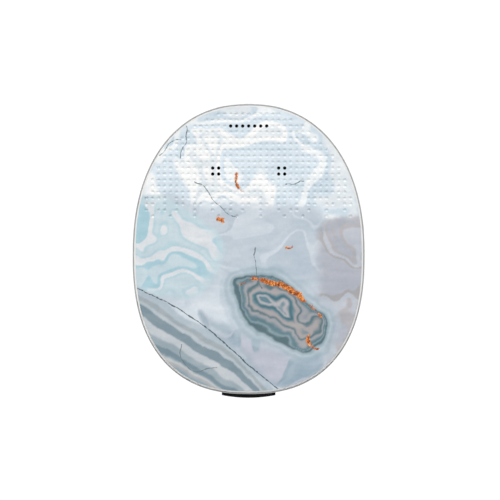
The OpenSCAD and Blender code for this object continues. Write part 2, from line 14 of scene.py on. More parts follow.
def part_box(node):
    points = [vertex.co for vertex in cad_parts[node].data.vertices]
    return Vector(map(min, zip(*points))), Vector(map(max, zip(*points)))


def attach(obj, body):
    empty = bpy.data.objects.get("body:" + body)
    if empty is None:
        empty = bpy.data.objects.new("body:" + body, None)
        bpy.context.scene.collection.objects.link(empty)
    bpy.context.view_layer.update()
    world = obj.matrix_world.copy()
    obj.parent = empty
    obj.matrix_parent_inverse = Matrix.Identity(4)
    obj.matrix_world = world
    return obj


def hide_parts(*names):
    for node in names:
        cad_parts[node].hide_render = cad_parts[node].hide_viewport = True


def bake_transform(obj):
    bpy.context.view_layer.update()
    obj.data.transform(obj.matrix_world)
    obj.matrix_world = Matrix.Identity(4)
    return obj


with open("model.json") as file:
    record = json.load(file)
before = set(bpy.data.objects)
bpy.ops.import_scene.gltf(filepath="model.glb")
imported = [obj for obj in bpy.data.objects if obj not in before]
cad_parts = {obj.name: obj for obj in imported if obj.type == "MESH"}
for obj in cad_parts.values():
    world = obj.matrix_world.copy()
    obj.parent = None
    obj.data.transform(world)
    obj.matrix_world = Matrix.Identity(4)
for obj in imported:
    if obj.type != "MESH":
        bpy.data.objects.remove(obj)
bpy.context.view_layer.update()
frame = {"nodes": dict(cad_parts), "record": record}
nodes = frame["nodes"]

MM = 0.001

# ---------- sizes, in millimetres, worked out from the frame ----------


def size_of(node):
    """Lowest and highest corner of a CAD node, in millimetres."""
    low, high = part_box(node)
    return np.array(low) / MM, np.array(high) / MM


SEAL_LOW, SEAL_HIGH = size_of("seal_ring")
HALF_W = SEAL_HIGH[0]
TOP_H = SEAL_HIGH[2]
BOTTOM_H = -SEAL_LOW[2]
TOP_N = 2.25
BOTTOM_N = 2.4
FACE_Y = size_of("face_plate")[0][1]
PLATE_BACK_Y = size_of("face_plate")[1][1]
SKIN_Y = size_of("face_skin")[0][1]
RIM_Y = SEAL_HIGH[1]
BACK_Y = size_of("rear_shell")[1][1]
SEAL_FRONT_Y = SEAL_LOW[1]
SEAL_SHOW = 0.6
SKIN_INSET = HALF_W - size_of("face_skin")[1][0]
RIM_INSET = 0.15
WALL = 2.2
DOME_IN = 26.0
DOME_N = 2.5

PITCH = 3.0
HOLE_R = 0.85
GRILLE_TOP = 70.5
GRILLE_MARGIN = 3.1
ROWS = 18
FADE_ROWS = 4
FADE_CYCLE = 11
FADE_STEP = (2, 4, 4, 3)
FADE_KEEP = (9, 7, 5, 3)
LEVEL_ROW = 2
CLUSTER_ROWS = (9, 10)

# ---------- outline ----------


def power(v, p):
    return np.sign(v) * np.abs(v) ** p


def egg(t, inset):
    """Outline points (x, z) at the curve's own angles t, moved inwards by inset."""
    c, s = np.cos(t), np.sin(t)
    n = np.where(s >= 0, TOP_N, BOTTOM_N)
    h = np.where(s >= 0, TOP_H, BOTTOM_H)
    point = np.stack([HALF_W * power(c, 2 / n), h * power(s, 2 / n)], -1)
    p = 2 - 2 / n
    normal = np.stack([power(c, p) / HALF_W, power(s, p) / h], -1)
    normal /= np.linalg.norm(normal, axis=-1, keepdims=True)
    return point - inset * normal


def even_egg(inset, count):
    """The outline at even steps along its length."""
    t = np.linspace(0, 2 * math.pi, 4001)
    fine = egg(t, inset)
    run = np.concatenate([[0], np.cumsum(np.linalg.norm(np.diff(fine, axis=0), axis=1))])
    at = np.linspace(0, run[-1], count, endpoint=False)
    return egg(np.interp(at, run, t), inset)


def egg_level(x, z, inset):
    """Under 1 inside the outline moved inwards by inset."""
    n = np.where(z >= 0, TOP_N, BOTTOM_N)
    h = np.where(z >= 0, TOP_H, BOTTOM_H)
    return (np.abs(x) / (HALF_W - inset)) ** n + (np.abs(z) / (h - inset)) ** n


def top_at(x):
    return TOP_H * (1 - (abs(x) / HALF_W) ** TOP_N) ** (1 / TOP_N)


def side_at(z):
    return HALF_W * (1 - (z / TOP_H) ** TOP_N) ** (1 / TOP_N)


def dome_inset_at(y):
    """The dome's inset at the depth y, from its side profile."""
    q = math.asin(min(1, ((y - RIM_Y) / (BACK_Y - RIM_Y)) ** (DOME_N / 2)))
    return DOME_IN * (1 - math.cos(q) ** (2 / DOME_N))


# ---------- meshes ----------


def mesh_object(name, verts, faces, sharp=35):
    """A mesh from points in millimetres, smooth apart from edges over the sharp angle."""
    mesh = bpy.data.meshes.new(name)
    mesh.from_pydata([tuple(float(c) * MM for c in v) for v in verts], [], faces)
    mesh.validate()
    return finished(link(bpy.data.objects.new(name, mesh)), sharp)


def link(obj):
    bpy.context.scene.collection.objects.link(obj)
    return obj


def finished(obj, sharp=35):
    """Outward normals and smooth shading."""
    bm = bmesh.new()
    bm.from_mesh(obj.data)
    bmesh.ops.recalc_face_normals(bm, faces=bm.faces)
    bm.to_mesh(obj.data)
    bm.free()
    obj.data.shade_smooth()
    obj.data.set_sharp_from_angle(angle=math.radians(sharp))
    return obj


def rings_object(name, rings, closed=False, sharp=35):
    """A solid through rings of equal counts: capped at its ends, or joined into a loop."""
    n = len(rings[0])
    verts = [p for ring in rings for p in ring]
    pairs = [(k, k + 1) for k in range(len(rings) - 1)]
    if closed:
        pairs.append((len(rings) - 1, 0))
    faces = [
        (a * n + i, a * n + (i + 1) % n, b * n + (i + 1) % n, b * n + i)
        for a, b in pairs
        for i in range(n)
    ]
    if not closed:
        faces.append(tuple(range(n)))
        faces.append(tuple((len(rings) - 1) * n + i for i in range(n)))
    return mesh_object(name, verts, faces, sharp)


def turned_object(name, profile, centre=(0, 0, 0), axis="y", count=96, sharp=35):
    """A closed profile of (radius, height) points turned about an axis through centre."""
    rings = []
    for r, h in profile:
        ring = []
        for i in range(count):
            t = 2 * math.pi * i / count
            c, s = r * math.cos(t), r * math.sin(t)
            p = {"x": (h, c, s), "y": (c, h, s), "z": (c, s, h)}[axis]
            ring.append(tuple(a + b for a, b in zip(p, centre)))
        rings.append(ring)
    return rings_object(name, rings, closed=True, sharp=sharp)


def cylinder(axis, centre, r, low, high, count=64):
    """A plain solid cylinder, as a boolean's second operand."""
    rings = []
    for h in (low, high):
        ring = []
        for i in range(count):
            t = 2 * math.pi * i / count
            c, s = r * math.cos(t), r * math.sin(t)
            ring.append(
                {
                    "x": (h, centre[0] + c, centre[1] + s),
                    "y": (centre[0] + c, h, centre[1] + s),
                    "z": (centre[0] + c, centre[1] + s, h),
                }[axis]
            )
        rings.append(ring)
    return rings_object("cutter", rings)


def box(low, high):
    """A plain box, as a boolean's second operand."""
    (x0, y0, z0), (x1, y1, z1) = low, high
    ring = [(x0, y0), (x1, y0), (x1, y1), (x0, y1)]
    return rings_object("cutter", [[(x, y, z) for x, y in ring] for z in (z0, z1)])


def prism(side, x0, x1):
    """A side view (y, z) drawn across from x0 to x1."""
    return rings_object("cutter", [[(x, y, z) for y, z in side] for x in (x0, x1)])


def boolean(obj, others, operation="DIFFERENCE"):
    """Cuts, joins or intersects obj with each of the others, which are used up."""
    for other in others:
        m = obj.modifiers.new("boolean", "BOOLEAN")
        m.operation = operation
        m.solver = "EXACT"
        m.object = other
        apply_modifiers(obj)
        bpy.data.objects.remove(other)
    return obj


def apply_modifiers(obj):
    """Replaces obj's mesh by what its modifiers make of it."""
    graph = bpy.context.evaluated_depsgraph_get()
    made = bpy.data.meshes.new_from_object(obj.evaluated_get(graph))
    obj.modifiers.clear()
    obj.data = made


def rounded(obj, width, segments=3, angle=40):
    """Rounds the edges over an angle, in millimetres."""
    m = obj.modifiers.new("round", "BEVEL")
    m.width = width * MM
    m.segments = segments
    m.limit_method = "ANGLE"
    m.angle_limit = math.radians(angle)
    m.harden_normals = False
    apply_modifiers(obj)
    return finished(obj, 50)


def piece(obj, name, body, material, slot, *replaced):
    """Names a finished mesh and puts it on its body, with its material."""
    obj.name = name
    obj.data.name = name
    obj.data.materials.clear()
    obj.data.materials.append(material)
    if body:
        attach(obj, body)
    if replaced:
        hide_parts(*replaced)
    return obj


# ---------- materials ----------


def srgb(r, g, b):
    """A linear colour from 0 to 255 display values."""
    return tuple(
        v / 12.92 if v <= 0.04045 else ((v + 0.055) / 1.055) ** 2.4
        for v in (c / 255 for c in (r, g, b))
    )


def add(tree, kind, inputs=None, **settings):
    """A node with its settings, and its inputs set or linked."""
    n = tree.nodes.new(kind)
    for key, value in settings.items():
        setattr(n, key, value)
    for key, value in (inputs or {}).items():
        if isinstance(value, bpy.types.NodeSocket):
            tree.links.new(value, n.inputs[key])
        else:
            n.inputs[key].default_value = value
    return n


def maths(tree, operation, a, b=0.0, clamp=False):
    return add(tree, "ShaderNodeMath", {0: a, 1: b}, operation=operation, use_clamp=clamp).outputs[0]


def mixed(tree, share, a, b, blend="MIX"):
    """A colour mixed from a to b."""
    n = add(tree, "ShaderNodeMix", data_type="RGBA", blend_type=blend)
    for key, value in ((0, share), (6, a), (7, b)):
        if isinstance(value, bpy.types.NodeSocket):
            tree.links.new(value, n.inputs[key])
        else:
            n.inputs[key].default_value = value if key == 0 else (*value[:3], 1)
    return n.outputs[2]


def ranged(tree, value, low, high, to_low, to_high):
    n = add(tree, "ShaderNodeMapRange", {0: value, 1: low, 2: high, 3: to_low, 4: to_high})
    return n.outputs[0]


def new_material(name):
    m = bpy.data.materials.new(name)
    m.use_nodes = True
    tree = m.node_tree
    tree.nodes.clear()
    shader = add(tree, "ShaderNodeBsdfPrincipled")
    out = add(tree, "ShaderNodeOutputMaterial")
    tree.links.new(shader.outputs[0], out.inputs[0])
    place = add(tree, "ShaderNodeTexCoord").outputs["Object"]
    return m, tree, shader, place


def noise(tree, place, size, detail=3.0, rough=0.5, warp=0.0):
    """Noise with features of about size millimetres, from 0 to 1."""
    return add(
        tree,
        "ShaderNodeTexNoise",
        {"Vector": place, "Scale": 1 / (size * MM), "Detail": detail, "Roughness": rough, "Distortion": warp},
    ).outputs[0]


def bumped(tree, shader, height, distance, strength=1.0):
    """Bump from a height of 0 to 1, in millimetres."""
    n = add(tree, "ShaderNodeBump", {"Height": height, "Distance": distance * MM, "Strength": strength})
    tree.links.new(n.outputs[0], shader.inputs["Normal"])
    return n


def moulded(name, colour, rough=0.4, grain=0.35, depth=0.012, specular=0.5, coat=0.0):
    """Moulded plastic or rubber: fine grain, and roughness and tone that drift a little."""
    m, tree, shader, place = new_material(name)
    base = srgb(*colour)
    drift = noise(tree, place, 14, 3)
    dark = tuple(c * 0.93 for c in base)
    light = tuple(min(1, c * 1.05) for c in base)
    tree.links.new(mixed(tree, drift, dark, light), shader.inputs["Base Color"])
    fine = noise(tree, place, grain, 2)
    worn = noise(tree, place, 5, 4)
    level = maths(tree, "ADD", maths(tree, "MULTIPLY", worn, 0.6), maths(tree, "MULTIPLY", fine, 0.4))
    tree.links.new(ranged(tree, level, 0.3, 0.7, rough * 0.88, rough * 1.14), shader.inputs["Roughness"])
    bumped(tree, shader, fine, depth)
    shader.inputs["Specular IOR Level"].default_value = specular
    shader.inputs["Coat Weight"].default_value = coat
    return m


def metal(name, colour, rough=0.3, streak=(0.05, 2.0), depth=0.004):
    """Metal with fine machining streaks round Y and a few smudges."""
    m, tree, shader, place = new_material(name)
    base = srgb(*colour)
    stretched = add(
        tree, "ShaderNodeMapping", {"Vector": place, "Scale": (1, streak[1] / streak[0], 1)}
    ).outputs[0]
    lines = noise(tree, stretched, streak[1], 3, 0.6)
    smudge = noise(tree, place, 3, 3)
    tree.links.new(
        mixed(tree, smudge, tuple(c * 0.9 for c in base), base), shader.inputs["Base Color"]
    )
    tree.links.new(
        ranged(tree, maths(tree, "ADD", lines, maths(tree, "MULTIPLY", smudge, 0.5)), 0.4, 1.1,
               rough * 0.7, rough * 1.4),
        shader.inputs["Roughness"],
    )
    shader.inputs["Metallic"].default_value = 1.0
    bumped(tree, shader, lines, depth)
    return m


def woven(name, colour, pitch, rough=0.85):
    """A plain weave, its threads crossing at the pitch in millimetres, with painted shade darkening the gaps
    between them.
    """
    m, tree, shader, place = new_material(name)
    parts = add(tree, "ShaderNodeSeparateXYZ", {0: place}).outputs
    turn = math.pi / (pitch * MM)
    across = maths(tree, "SINE", maths(tree, "MULTIPLY", parts[0], turn))
    up = maths(tree, "SINE", maths(tree, "MULTIPLY", parts[2], turn))
    height = maths(tree, "MULTIPLY", maths(tree, "ABSOLUTE", across), maths(tree, "ABSOLUTE", up))
    base = srgb(*colour)
    # Painted shade: the colour drops to 0.4 of the thread's own in the low gaps between threads.
    tree.links.new(mixed(tree, height, tuple(c * 0.4 for c in base), base), shader.inputs["Base Color"])
    shader.inputs["Roughness"].default_value = rough
    shader.inputs["Specular IOR Level"].default_value = 0.15
    bumped(tree, shader, height, pitch * 0.3)
    return m


def circuit_board(name):
    """Green solder mask with lighter tracks and small pads."""
    m, tree, shader, place = new_material(name)
    tracks = add(
        tree,
        "ShaderNodeTexWave",
        {"Vector": place, "Scale": 500.0, "Distortion": 3.0, "Detail": 1.0},
        bands_direction="DIAGONAL",
    ).outputs[1]
    line = maths(tree, "GREATER_THAN", tracks, 0.8)
    cells = add(tree, "ShaderNodeTexVoronoi", {"Vector": place, "Scale": 300.0, "Randomness": 0.6}).outputs[0]
    pad = maths(tree, "LESS_THAN", cells, 0.12)
    mask = mixed(tree, line, srgb(20, 84, 52), srgb(34, 112, 70))
    tree.links.new(mixed(tree, pad, mask, srgb(196, 178, 120)), shader.inputs["Base Color"])
    tree.links.new(ranged(tree, pad, 0.0, 1.0, 0.42, 0.28), shader.inputs["Roughness"])
    bumped(tree, shader, line, 0.03)
    return m


# ---------- the poured-marble print ----------


def cloud(place, size, seed, octaves=3):
    """Smooth value noise from 0 to 1 with features of about size millimetres."""
    made = np.zeros(len(place))
    for octave in range(octaves):
        grid = np.random.default_rng(seed + octave).random((96, 96))
        at = place * (2**octave) / size + 48.37
        cell = np.floor(at).astype(int)
        f = at - cell
        f = f * f * (3 - 2 * f)
        i, k = cell[:, 0] % 95, cell[:, 1] % 95
        low = grid[i, k] * (1 - f[:, 0]) + grid[i + 1, k] * f[:, 0]
        high = grid[i, k + 1] * (1 - f[:, 0]) + grid[i + 1, k + 1] * f[:, 0]
        share = 0.5**octave
        made += share * (low * (1 - f[:, 1]) + high * f[:, 1])
    return made / (2 - 0.5 ** (octaves - 1))


def curve(points, closed=False, steps=7):
    """A smooth curve through points."""
    p = np.array(points, float)
    p = np.vstack([p[-1:], p, p[:2]]) if closed else np.vstack([p[:1], p, p[-1:]])
    t = np.arange(steps)[:, None] / steps
    spans = []
    for a, b, c, d in zip(p[:-3], p[1:-2], p[2:-1], p[3:]):
        spans.append(
            0.5 * (2 * b + (c - a) * t + (2 * a - 5 * b + 4 * c - d) * t**2 + (3 * b - a - 3 * c + d) * t**3)
        )
    if not closed:
        spans.append(p[-2:-1])
    return np.vstack(spans)


def to_curve(place, line):
    """Distance to an open curve, the signed offset to its left, and how far along it is, 0 to 1."""
    best = np.full(len(place), 1e9)
    side = np.zeros(len(place))
    along = np.zeros(len(place))
    for k, (a, b) in enumerate(zip(line[:-1], line[1:])):
        d = b - a
        length = np.hypot(*d)
        if length < 1e-9:
            continue
        rel = place - a
        f = np.clip((rel @ d) / length**2, 0, 1)
        away = np.hypot(rel[:, 0] - f * d[0], rel[:, 1] - f * d[1])
        closer = away < best
        best[closer] = away[closer]
        side[closer] = (d[0] * rel[:, 1] - d[1] * rel[:, 0])[closer] / length
        along[closer] = (k + f[closer]) / (len(line) - 1)
    return best, side, along


def to_loop(place, line):
    """Distance inside a closed curve, negative outside."""
    ring = np.vstack([line, line[:1]])
    best = to_curve(place, ring)[0]
    within = np.zeros(len(place), bool)
    x, z = place[:, 0], place[:, 1]
    for (x0, z0), (x1, z1) in zip(ring[:-1], ring[1:]):
        if z0 == z1:
            continue
        crosses = (z0 > z) != (z1 > z)
        within ^= crosses & (x < x0 + (z - z0) * (x1 - x0) / (z1 - z0))
    return np.where(within, best, -best)


def ease(v):
    v = np.clip(v, 0, 1)
    return v * v * (3 - 2 * v)


class Print:
    """Paint poured in layers on points of the face, in millimetres and display colours."""

    def __init__(self, place):
        self.place = place
        swirl = np.stack(
            [cloud(place, 9, 11) - 0.5, cloud(place, 9, 23) - 0.5], 1
        )
        small = np.stack([cloud(place, 2.5, 31) - 0.5, cloud(place, 2.5, 37) - 0.5], 1)
        self.at = place + 2.0 * swirl + 1.3 * small
        self.near = place + 1.0 * swirl + 0.8 * small
        self.rough = cloud(place, 3, 41) - 0.5
        self.colour = np.tile([206.0, 214.0, 221.0], (len(place), 1))
        self.copper = np.full(len(place), -5.0)
        self.line_side = np.full(len(place), 9.0)
        self.line_away = np.full(len(place), 9.0)
        self.line_half = np.full(len(place), 0.1)
        self.line_ink = np.tile([60.0, 66.0, 72.0], (len(place), 1))

    def lay(self, share, colour):
        share = np.clip(share, 0, 1)[:, None]
        self.colour += share * (np.array(colour, float) - self.colour)

    def close_to(self, points, margin):
        low = np.min(points, 0) - margin
        high = np.max(points, 0) + margin
        return np.flatnonzero(((self.place > low) & (self.place < high)).all(1))

    def vein(self, points, width, start=0.3, end=0.3, ragged=0.8):
        """Copper, drawn by the material where this distance is above zero."""
        i = self.close_to(points, width + 4)
        away, _, along = to_curve(self.near[i], curve(points))
        taper = np.minimum(start + (1 - start) * ease(along * 3), end + (1 - end) * ease((1 - along) * 3))
        inside = width / 2 * taper - away + ragged * self.rough[i]
        self.copper[i] = np.maximum(self.copper[i], inside)

    def ink(self, points, width, colour=(60, 66, 72)):
        """A thin line, sharp at any size because the material draws it from its distance."""
        i = self.close_to(points, 3)
        away, side, _ = to_curve(self.near[i], curve(points))
        closer = away < self.line_away[i]
        k = i[closer]
        self.line_away[k] = away[closer]
        self.line_side[k] = side[closer]
        self.line_half[k] = width / 2
        self.line_ink[k] = colour


# The marble is a generic one: a few broad fields set the palette and where it sits, and seeded noise and
# wandering lines make everything inside them.
CLOUDS = [(-70, 25), (0, 25), (70, 15), (70, 85), (-70, 85)]
STREAM = [(-70, 25), (0, 25), (40, 15), (40, -15), (0, -15), (-35, -25), (-70, -10)]
SHALLOWS = [(-70, 25), (-35, 25), (-15, 5), (-30, -20), (-70, -10)]
SHORE = [(35, -25), (35, 5), (45, 15), (70, 10), (70, -45), (45, -60)]
POOL = [(-25, -30), (0, -40), (25, -40), (35, -55), (20, -65), (0, -50)]
FALL = [(-70, -10), (-30, -30), (0, -55), (25, -75)]
SWIRL_CENTRE, SWIRL_HALF, SWIRL_TURN = (15, -30), (26, 14), -30


def poured(p, region, base, colours, size, seed, soft=2.0):
    """A field of flowing paint: contours of one bent noise, filled with one colour after another."""
    bend = np.stack([cloud(p.place, size * 1.6, seed + 1), cloud(p.place, size * 1.6, seed + 5)], 1) - 0.5
    inside = ease(to_loop(p.at + 0.6 * size * bend, curve(region, closed=True)) / soft + 0.5)
    height = cloud(p.place + size * 1.5 * bend, size * 1.4, seed, 3)
    p.lay(inside, base)
    layered(p, (height - 0.36) * 100, inside, colours + [base] + colours[::-1], 2.5, 8.0, seed)


def layered(p, depth, shown, colours, thin, thick, seed):
    """Layers of changing thickness, one colour after another, with edges now soft and now crisp."""
    draw = np.random.default_rng(seed)
    level = 0.0
    for colour in colours:
        p.lay(ease((depth - level) / draw.uniform(0.4, 2.2) + 0.5) * shown, colour)
        level += draw.uniform(thin, thick)


def wander(start, heading, length, seed, turn=0.6):
    """A wandering line from a start, with a heading in degrees."""
    angle, at, points = np.radians(heading), np.array(start, float), [start]
    for bend in np.random.default_rng(seed).uniform(-turn, turn, 6):
        angle += bend
        at = at + length / 6 * np.array([np.cos(angle), np.sin(angle)])
        points.append(tuple(at))
    return points


def swirl_outline(count=8):
    """A tilted oval, from its right end and over its top."""
    turn, around = np.radians(SWIRL_TURN), np.arange(count) * 2 * np.pi / count
    x, z = SWIRL_HALF[0] * np.cos(around), SWIRL_HALF[1] * np.sin(around)
    across, up = x * np.cos(turn) - z * np.sin(turn), x * np.sin(turn) + z * np.cos(turn)
    return [(SWIRL_CENTRE[0] + a, SWIRL_CENTRE[1] + b) for a, b in zip(across, up)]


def scattered(count, seed):
    """Seeded starts on the face, with headings and lengths, for wandering lines."""
    draw = np.random.default_rng(seed)
    return [((draw.uniform(-40, 40), draw.uniform(-50, 60)), draw.uniform(-180, 180), draw.uniform(8, 30))
            for _ in range(count)]


def fields(p):
    """The pale clouds on top, the grey-blue stream, the teal shallows and the lilac shore."""
    poured(p, CLOUDS, (221, 227, 231), [(203, 216, 225), (234, 238, 240), (212, 223, 231),
                                        (240, 241, 241)], 22, 101, 9)
    poured(p, STREAM, (190, 200, 209), [(180, 192, 203), (200, 208, 216), (186, 197, 207)], 22, 211, 9)
    poured(p, SHALLOWS, (193, 209, 216), [(164, 198, 209), (214, 218, 222), (180, 205, 213)], 18, 307, 8)
    poured(p, SHORE, (172, 176, 186), [(165, 163, 165), (184, 189, 198), (174, 172, 176)], 18, 401, 8)


def falling_layers(p):
    """Grey-teal layers under one long diagonal, closing up towards its end."""
    _, side, along = to_curve(p.near, curve(FALL))
    depth = -side / (1.1 - 0.5 * ease(along)) + 7 * (cloud(p.place, 22, 53, 3) - 0.5)
    colours = [(176, 188, 197), (158, 168, 174), (178, 188, 194), (124, 143, 153), (186, 193, 198),
               (150, 164, 172),
               (116, 137, 148), (186, 192, 194), (166, 169, 172), (138, 158, 170), (176, 181, 186),
                   (148, 162, 170)]
    layered(p, depth, ease((-8 - p.near[:, 1]) / 5), colours, 1.2, 4.5, 59)
    poured(p, POOL, (158, 175, 187), [(182, 186, 198), (148, 167, 180)], 16, 503, 6)


def swirl(p):
    """The dark teal swirl, banded from its rim inwards."""
    bend = np.stack([cloud(p.place, 20, 73), cloud(p.place, 20, 79)], 1) - 0.5
    rim = to_loop(p.at + 9 * bend, curve(swirl_outline(), closed=True))
    depth = rim + 16 * (cloud(p.at, 15, 83, 3) - 0.4) * ease(rim / 3)
    colours = [(84, 108, 116), (148, 168, 174), (96, 124, 134), (156, 158, 162), (88, 114, 122),
               (164, 159, 160),
               (88, 126, 139), (56, 98, 110), (178, 176, 180), (92, 126, 137), (150, 168, 175)]
    for away, colour in ((7.0, (176, 190, 200)), (4.5, (152, 172, 184)), (2.6, (190, 202, 208)),
                         (1.2, (128, 152, 162))):
        p.lay(ease((rim + away) / 1.5 + 0.5) * 0.5, colour)
    layered(p, depth, ease(rim / 0.8 + 0.5), colours, 0.8, 2.6, 89)


def veins_and_lines(p):
    """Copper along the swirl's upper rim and in a few short veins, and thin wandering lines."""
    p.vein(swirl_outline()[1:5], 2.2, 0.3, 0.2, 2.8)
    for k, (start, heading, length) in enumerate(scattered(4, 631)):
        p.vein(wander(start, heading, length / 2, 600 + k), 1.8, 0.3, 0.4, 2.6)
    p.ink(FALL, 0.5, (64, 84, 92))
    for k, (start, heading, length) in enumerate(scattered(6, 641)):
        p.ink(wander(start, heading, length, 700 + k), 0.4, (100, 116, 124))


def marble_print(mesh, verts):
    """Pours the print on the skin's vertices, as colours and distances that its material reads."""
    p = Print(np.array([(v[0], v[2]) for v in verts], float))
    fields(p)
    falling_layers(p)
    swirl(p)
    veins_and_lines(p)
    flow = p.place + 5.0 * np.stack([cloud(p.place, 16, 91) - 0.5, cloud(p.place, 16, 97) - 0.5], 1)
    brushed = cloud(flow * np.array([0.22, 1.0]), 2.2, 67, 4) - 0.5
    mottle = (0.6 * (cloud(p.place, 6, 61, 4) - 0.5) + brushed)[:, None] * np.array([20.0, 16.0, 13.0])
    shown = np.clip(p.colour + mottle, 0, 255)
    for name, colour in (("pour", shown), ("line_ink", p.line_ink)):
        v = colour / 255
        linear = np.where(v <= 0.04045, v / 12.92, ((v + 0.055) / 1.055) ** 2.4)
        layer = mesh.color_attributes.new(name, "FLOAT_COLOR", "POINT")
        layer.data.foreach_set("color", np.hstack([linear, np.ones((len(v), 1))]).ravel())
    for name in ("copper", "line_side", "line_away", "line_half"):
        layer = mesh.attributes.new(name, "FLOAT", "POINT")
        layer.data.foreach_set("value", getattr(p, name))


def printed_skin():
    """Satin vinyl: the poured print, thin inked lines, and copper leaf with a grainy edge."""
    m, tree, shader, place = new_material("printed_skin")

    def attribute(name, output="Fac"):
        return add(tree, "ShaderNodeAttribute", attribute_name=name).outputs[output]

    grain = noise(tree, place, 0.5, 3, 0.6)
    wisp = noise(tree, place, 1.6, 4, 0.6, 0.8)
    tone = ranged(tree, wisp, 0.3, 0.7, 0.96, 1.035)
    pour = attribute("pour", "Color")
    toned = add(tree, "ShaderNodeVectorMath", {0: pour, "Scale": tone}, operation="SCALE").outputs[0]

    half = maths(tree, "MULTIPLY", attribute("line_half"), ranged(tree, wisp, 0.35, 0.65, 0.25, 1.7))
    off = maths(tree, "ABSOLUTE", attribute("line_side"))
    drawn = maths(tree, "MULTIPLY", maths(tree, "SUBTRACT", half, off), 6.0)
    drawn = maths(tree, "ADD", drawn, 0.5, True)
    near = maths(tree, "LESS_THAN", maths(tree, "SUBTRACT", attribute("line_away"),
                                        attribute("line_half")), 0.4)
    drawn = maths(tree, "MULTIPLY", drawn, near)
    inked = mixed(tree, drawn, toned, attribute("line_ink", "Color"))

    edge = maths(tree, "ADD", attribute("copper"), ranged(tree, grain, 0.3, 0.7, -0.5, 0.5))
    leaf = maths(tree, "MULTIPLY", edge, 5.0, True)
    flake = noise(tree, place, 0.9, 4, 0.75, 0.5)
    ramp = add(tree, "ShaderNodeValToRGB", {0: flake})
    stops = ((0.38, (84, 42, 20)), (0.46, (166, 80, 30)), (0.53, (212, 118, 44)), (0.60, (234, 158, 80)),
             (0.72, (250, 214, 160)))
    for k, (at, colour) in enumerate(stops):
        stop = ramp.color_ramp.elements[k] if k < 2 else ramp.color_ramp.elements.new(at)
        stop.position = at
        stop.color = (*srgb(*colour), 1)
    tree.links.new(mixed(tree, leaf, inked, ramp.outputs[0]), shader.inputs["Base Color"])
    tree.links.new(ranged(tree, grain, 0.3, 0.7, 0.36, 0.46), shader.inputs["Roughness"])
    shader.inputs["Specular IOR Level"].default_value = 0.35
    bumped(tree, shader, noise(tree, place, 0.25, 2), 0.004)
    return m


# ---------- the perforated skin ----------


def grille():
    """Every hole of the grille as (x, z, is it open)."""
    found = []
    for row in range(ROWS):
        for column in range(-18, 19):
            x, z = column * PITCH, GRILLE_TOP - row * PITCH
            fade = row - (ROWS - FADE_ROWS)
            kept = True
            if fade >= 0:
                turn = ((column + 4 * FADE_CYCLE) * FADE_STEP[fade] + row) % FADE_CYCLE
                kept = turn < FADE_KEEP[fade]
            level_hole = row == LEVEL_ROW and abs(column) <= 3
            is_open = level_hole or (row in CLUSTER_ROWS and abs(column) in (5, 6))
            if (kept or is_open) and egg_level(x, z, GRILLE_MARGIN) < 1:
                found.append((x, z, is_open))
    return found


LATTICE = 0.5
SPOKES = 16
DIMPLE = ((1.0, 0.0), (0.95, 0.04), (0.52, 0.37))
DIMPLE_DEPTH = 0.39


